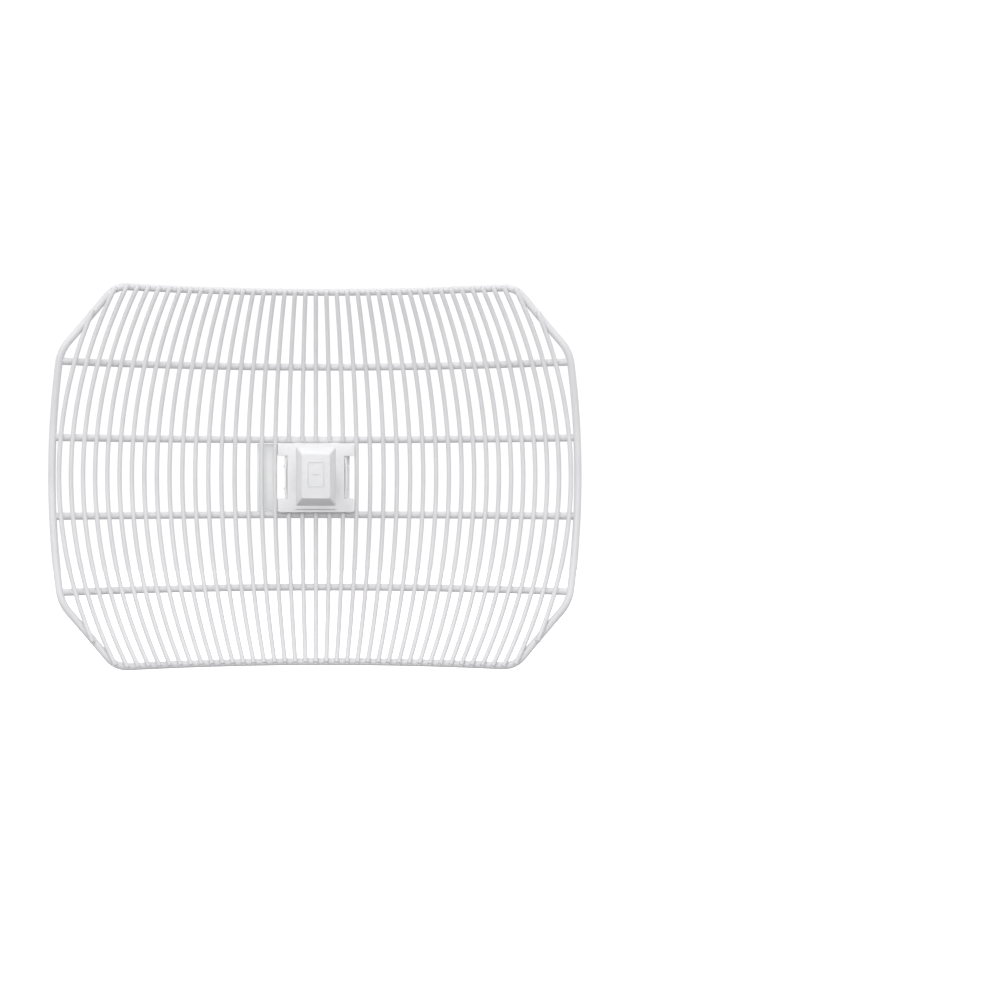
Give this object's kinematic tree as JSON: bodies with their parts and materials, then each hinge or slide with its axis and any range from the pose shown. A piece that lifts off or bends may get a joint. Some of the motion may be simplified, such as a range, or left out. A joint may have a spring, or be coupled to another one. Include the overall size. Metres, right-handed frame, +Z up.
{
  "type": "parabolic grid antenna",
  "caption": "Oblong parabolic wire grid reflector with a slide-in tubular feed, squeeze latches and a rear L-bracket with a pivot hole and a curved tilt slot.",
  "frame": {"origin": "centre of the bracket's elevation pivot hole, in the middle of the plate's thickness", "axes": "-Y towards the front, where the dish points; +X across the dish, to the right as seen from in front of it; +Z up"},
  "size_m": [0.6011, 0.3595, 0.435],
  "materials": {
    "grid_wire": "satin powder coat",
    "mount_plastic": "fine moulded",
    "head_plastic": "fine moulded",
    "natural_plastic": "moulded",
    "black_plastic": "moulded",
    "tab_plastic": "moulded",
    "bracket_steel": "satin powder coat",
    "zinc_steel": "zinc plated",
    "tube_chrome": "bright",
    "tin_plate": "satin",
    "brass": "turned",
    "seal_rubber": "matt",
    "circuit_board": "solder mask",
    "led_lens": "clear"
  },
  "bodies": {
    "grid_and_mount": {"rim_frame": "grid_wire", "rail_upper_outer": "grid_wire", "rail_upper_inner": "grid_wire", "rail_lower_inner": "grid_wire", "rail_lower_outer": "grid_wire", "wire_centre": "grid_wire", "wire_pair_1": "grid_wire", "wire_pair_2": "grid_wire", "wire_pair_3": "grid_wire", "wire_pair_4": "grid_wire", "wire_pair_5": "grid_wire", "wire_pair_6": "grid_wire", "wire_pair_7": "grid_wire", "wire_pair_8": "grid_wire", "wire_pair_9": "grid_wire", "wire_pair_10": "grid_wire", "wire_pair_11": "grid_wire", "wire_pair_12": "grid_wire", "wire_pair_13": "grid_wire", "wire_pair_14": "grid_wire", "wire_pair_15": "grid_wire", "wire_pair_16": "grid_wire", "wire_pair_17": "grid_wire", "wire_pair_18": "grid_wire", "wire_pair_19": "grid_wire", "wire_pair_20": "grid_wire", "feed_mount": "mount_plastic", "thread_inserts": "brass", "latch_pins": "zinc_steel", "bracket": "bracket_steel", "bracket_bolts": "zinc_steel"},
    "latch_left": {"latch_left": "mount_plastic"},
    "latch_right": {"latch_right": "mount_plastic"},
    "feed": {"feed_head": "head_plastic", "head_badge": "head_plastic", "head_seal": "seal_rubber", "splash_plate": "tin_plate", "element_holder": "natural_plastic", "dipole": "brass", "feed_line": "brass", "feed_tube": "tube_chrome", "rear_housing": "tube_chrome", "board_carrier": "black_plastic", "radio_board": "circuit_board", "shield_can": "tin_plate", "board_screws": "zinc_steel", "ethernet_jack": "tin_plate", "status_leds": "led_lens", "reset_switch": "black_plastic"},
    "reset_button": {"reset_button": "black_plastic"},
    "rear_cap": {"rear_cap": "tube_chrome", "cap_seal": "seal_rubber"},
    "cap_tab": {"cap_tab": "tab_plastic"}
  },
  "joints": [
    {"name": "feed_slide", "type": "slide", "parent": "grid_and_mount", "child": "feed", "axis": [0, -1, 0], "range_m": [0, 0.09]},
    {"name": "latch_left_press", "type": "hinge", "parent": "grid_and_mount", "child": "latch_left", "pos_m": [0.03365, -0.06, 0.0246], "axis": [0, 0, 1], "range_deg": [0, 7], "stiffness_Nm_per_rad": 0.2},
    {"name": "latch_right_press", "type": "hinge", "parent": "grid_and_mount", "child": "latch_right", "pos_m": [0.10285, -0.06, 0.0246], "axis": [0, 0, -1], "range_deg": [0, 7], "stiffness_Nm_per_rad": 0.2},
    {"name": "cap_slide", "type": "slide", "parent": "feed", "child": "rear_cap", "axis": [0, 1, 0], "range_m": [0, 0.03]},
    {"name": "cap_tab_press", "type": "slide", "parent": "rear_cap", "child": "cap_tab", "axis": [0, 0, -1], "range_m": [0, 0.0012], "stiffness_N_per_m": 3000},
    {"name": "reset_press", "type": "slide", "parent": "feed", "child": "reset_button", "axis": [0, -1, 0], "range_m": [0, 0.0005], "stiffness_N_per_m": 2000}
  ]
}
